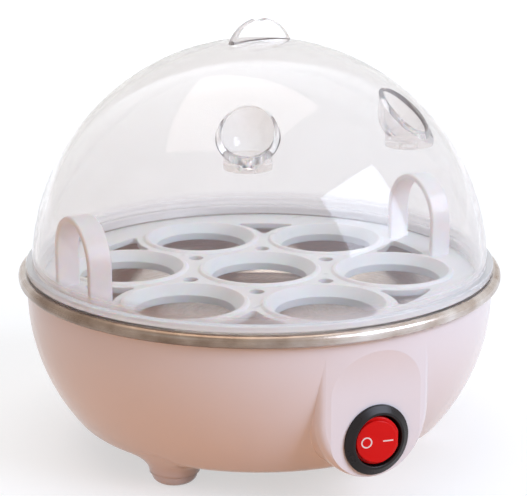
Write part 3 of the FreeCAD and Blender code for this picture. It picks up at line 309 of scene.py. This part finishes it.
def clear_plastic(name):
    """Clear moulded plastic with a faint haze and waviness, which lets lamp light through."""
    graph = new_material(name)
    clear = graph.remap(graph.split()["Z"], *LID_CLEARNESS, span=LID_EDGE)
    gloss = graph.noise(scale=60.0, detail=3.0)
    graph.set(base_color=LID_COLOUR, transmission_weight=clear, ior=LID_IOR)
    graph.set(roughness=graph.remap(gloss, low=0.02, high=0.06))
    graph.bump(graph.noise(scale=22.0, detail=2.0), strength=0.06, distance=LID_WAVE_DEPTH)
    path = graph.node("ShaderNodeLightPath")
    lit = graph.math("MAXIMUM", path.outputs["Is Shadow Ray"], path.outputs["Is Diffuse Ray"])
    through = graph.node("ShaderNodeBsdfTransparent")
    through.inputs["Color"].default_value = LAMP_SHARE
    either = graph.node("ShaderNodeMixShader")
    graph.link(lit, either.inputs[0])
    graph.link(graph.shader.outputs[0], either.inputs[1])
    graph.link(through.outputs[0], either.inputs[2])
    graph.link(either.outputs[0], graph.tree.nodes["Material Output"].inputs["Surface"])
    return graph.owner


def milky_plastic(name):
    """Milky plastic that lets some light through."""
    graph = new_material(name)
    cloud = graph.noise(scale=45.0, detail=4.0)
    gloss = graph.noise(scale=220.0, detail=3.0)
    graph.set(base_color=graph.mix(cloud, *MILKY_COLOURS), ior=MILKY_IOR)
    graph.set(roughness=graph.remap(gloss, low=0.26, high=0.40))
    graph.set(subsurface_weight=SCATTER_SHARE, subsurface_scale=SCATTER_DEPTH)
    graph.bump(graph.noise(scale=700.0, detail=2.0), strength=0.05, distance=SKIN_DEPTH)
    return graph.owner


def sleeve(name, colour):
    """Soft silicone sleeve of a lead."""
    graph = new_material(name)
    cloud = graph.noise(scale=120.0, detail=4.0)
    gloss = graph.noise(scale=900.0, detail=3.0)
    graph.set(base_color=graph.mix(cloud, shade(colour, 0.85), shade(colour, 1.1)))
    graph.set(roughness=graph.remap(gloss, low=0.42, high=0.62))
    graph.bump(graph.noise(scale=1800.0, detail=3.0), strength=0.15, distance=SCUFF_DEPTH)
    return graph.owner


def finishes():
    """A material for each of the record's slots."""
    made = {
        "clear_plastic": clear_plastic("clear_plastic"),
        "milky_plastic": milky_plastic("milky_plastic"),
        "steel": spun_steel("steel"),
    }
    for name, facts in MOULDED.items():
        made[name] = moulded(name, **facts)
    for name, facts in METALS.items():
        made[name] = plain_metal(name, **facts)
    for name, colour in SLEEVES.items():
        made[name] = sleeve(name, colour)
    return made


def dress_nodes(made):
    """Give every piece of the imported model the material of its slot."""
    for part in frame["record"]["subparts"]:
        node = frame["nodes"][part["node"]]
        node.data.materials.clear()
        node.data.materials.append(made[part["material_slot"]])


def underside(x, y):
    """Height of the base's outside at a point near its flat bottom."""
    radius = math.hypot(x, y)
    if radius > CORNER_END:
        return WIDEST_Z - math.sqrt(BOWL_ARC ** 2 - (radius - BOWL_CENTRE) ** 2)
    out = max(0.0, radius - FLAT_RADIUS)
    return BOTTOM_Z + CORNER_RADIUS - math.sqrt(CORNER_RADIUS ** 2 - out ** 2)


def blend_section():
    """Section of the soft ring: points out from the foot's side and up from the base."""
    arc = [math.pi / 2 * step / BLEND_STEPS for step in range(BLEND_STEPS + 1)]
    hollow = [(BLEND * (1 - math.cos(a)), BLEND * (math.sin(a) - 1)) for a in arc]
    return hollow + [(BLEND, BLEND_SINK), (-BLEND_SINK, BLEND_SINK), (-BLEND_SINK, -BLEND)]


def add_foot_blend(number, bearing, material):
    """Soft ring that leads the side of a foot over into the base, sunk a little into both."""
    turn = math.radians(bearing)
    centre = (FOOT_CIRCLE * math.sin(turn), -FOOT_CIRCLE * math.cos(turn))
    section = blend_section()
    count = len(section)
    points = []
    faces = []
    for segment in range(BLEND_SEGMENTS):
        angle = 2 * math.pi * segment / BLEND_SEGMENTS
        for out, rise in section:
            x = centre[0] + (FOOT_SIDE + out) * math.cos(angle)
            y = centre[1] + (FOOT_SIDE + out) * math.sin(angle)
            points.append((x, y, underside(x, y) + rise))
        here = segment * count
        there = (segment + 1) % BLEND_SEGMENTS * count
        for k in range(count):
            after = (k + 1) % count
            faces.append((here + k, there + k, there + after, here + after))
    mesh = bpy.data.meshes.new(f"foot_blend_{number}")
    mesh.from_pydata(points, [], faces)
    mesh.validate()
    for polygon in mesh.polygons:
        polygon.use_smooth = polygon.index % count < BLEND_STEPS
    mesh.materials.append(material)
    blend = bpy.data.objects.new(mesh.name, mesh)
    bpy.context.scene.collection.objects.link(blend)
    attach(blend, "base")


def backdrop_ray(graph):
    """One for camera, mirror and glass rays, and nought for the rest."""
    path = graph.node("ShaderNodeLightPath")
    seen = graph.math("MAXIMUM", path.outputs["Is Camera Ray"], path.outputs["Is Glossy Ray"])
    return graph.math("MAXIMUM", seen, path.outputs["Is Transmission Ray"])


def add_floor():
    """Pale floor that looks white and keeps a soft shadow."""
    bpy.ops.mesh.primitive_plane_add(size=FLOOR_SIZE, location=(0, 0, 0))
    floor = bpy.context.object
    floor.name = "floor"
    graph = new_material("floor_paper")
    seen = backdrop_ray(graph)
    paper = graph.mix(graph.noise(scale=18.0, detail=4.0), *FLOOR_COLOURS)
    glow = graph.remap(graph.radius(), *FLOOR_GLOW, span=FLOOR_FADE)
    graph.set(base_color=graph.mix(seen, FLOOR_TINT, paper), roughness=0.9)
    graph.set(emission_color=WHITE, emission_strength=graph.math("MULTIPLY", seen, glow))
    floor.data.materials.append(graph.owner)


def add_world():
    """White to look at, and a plain soft glow as light."""
    world = bpy.data.worlds.new("studio")
    bpy.context.scene.world = world
    graph = Graph(world, "Generated")
    glow = graph.mix(graph.split()["Z"], WORLD_SIDE, WORLD_TOP)
    seen = backdrop_ray(graph)
    background = graph.tree.nodes["Background"]
    graph.link(graph.mix(seen, glow, WHITE), background.inputs["Color"])
    graph.link(graph.math("MAXIMUM", seen, WORLD_STRENGTH), background.inputs["Strength"])


def add_softbox(name, place, aim, size, power, colour):
    lamp = bpy.data.lights.new(name, "AREA")
    lamp.shape = "RECTANGLE"
    lamp.size, lamp.size_y = size
    lamp.energy = power
    lamp.color = colour
    holder = bpy.data.objects.new(name, lamp)
    bpy.context.scene.collection.objects.link(holder)
    holder.location = place
    holder.rotation_euler = (Vector(aim) - Vector(place)).to_track_quat("-Z", "Y").to_euler()
    holder.visible_glossy = name not in UNSEEN_LAMPS
    holder.visible_transmission = name not in UNSEEN_LAMPS


def add_camera():
    azimuth = math.radians(CAMERA_AZIMUTH)
    elevation = math.radians(CAMERA_ELEVATION)
    away = Vector((
        math.sin(azimuth) * math.cos(elevation),
        -math.cos(azimuth) * math.cos(elevation),
        math.sin(elevation),
    ))
    data = bpy.data.cameras.new("camera")
    data.sensor_width = SENSOR_WIDTH
    data.lens = FOCAL_PIXELS / IMAGE_WIDTH * SENSOR_WIDTH
    data.shift_x = AXIS_OFFSET[0] / IMAGE_WIDTH
    data.shift_y = AXIS_OFFSET[1] / IMAGE_WIDTH
    camera = bpy.data.objects.new("camera", data)
    bpy.context.scene.collection.objects.link(camera)
    camera.location = TARGET + away * CAMERA_DISTANCE
    camera.rotation_euler = (-away).to_track_quat("-Z", "Y").to_euler()
    bpy.context.scene.camera = camera


materials = finishes()
dress_nodes(materials)
for number, bearing in enumerate(FOOT_BEARINGS, 1):
    add_foot_blend(number, bearing, materials["white_plastic"])
add_floor()
add_world()
for name, facts in LAMPS.items():
    add_softbox(name, *facts)
add_camera()
bpy.context.scene.view_settings.view_transform = "Standard"
bpy.context.scene.cycles.caustics_reflective = False
bpy.context.scene.cycles.caustics_refractive = False
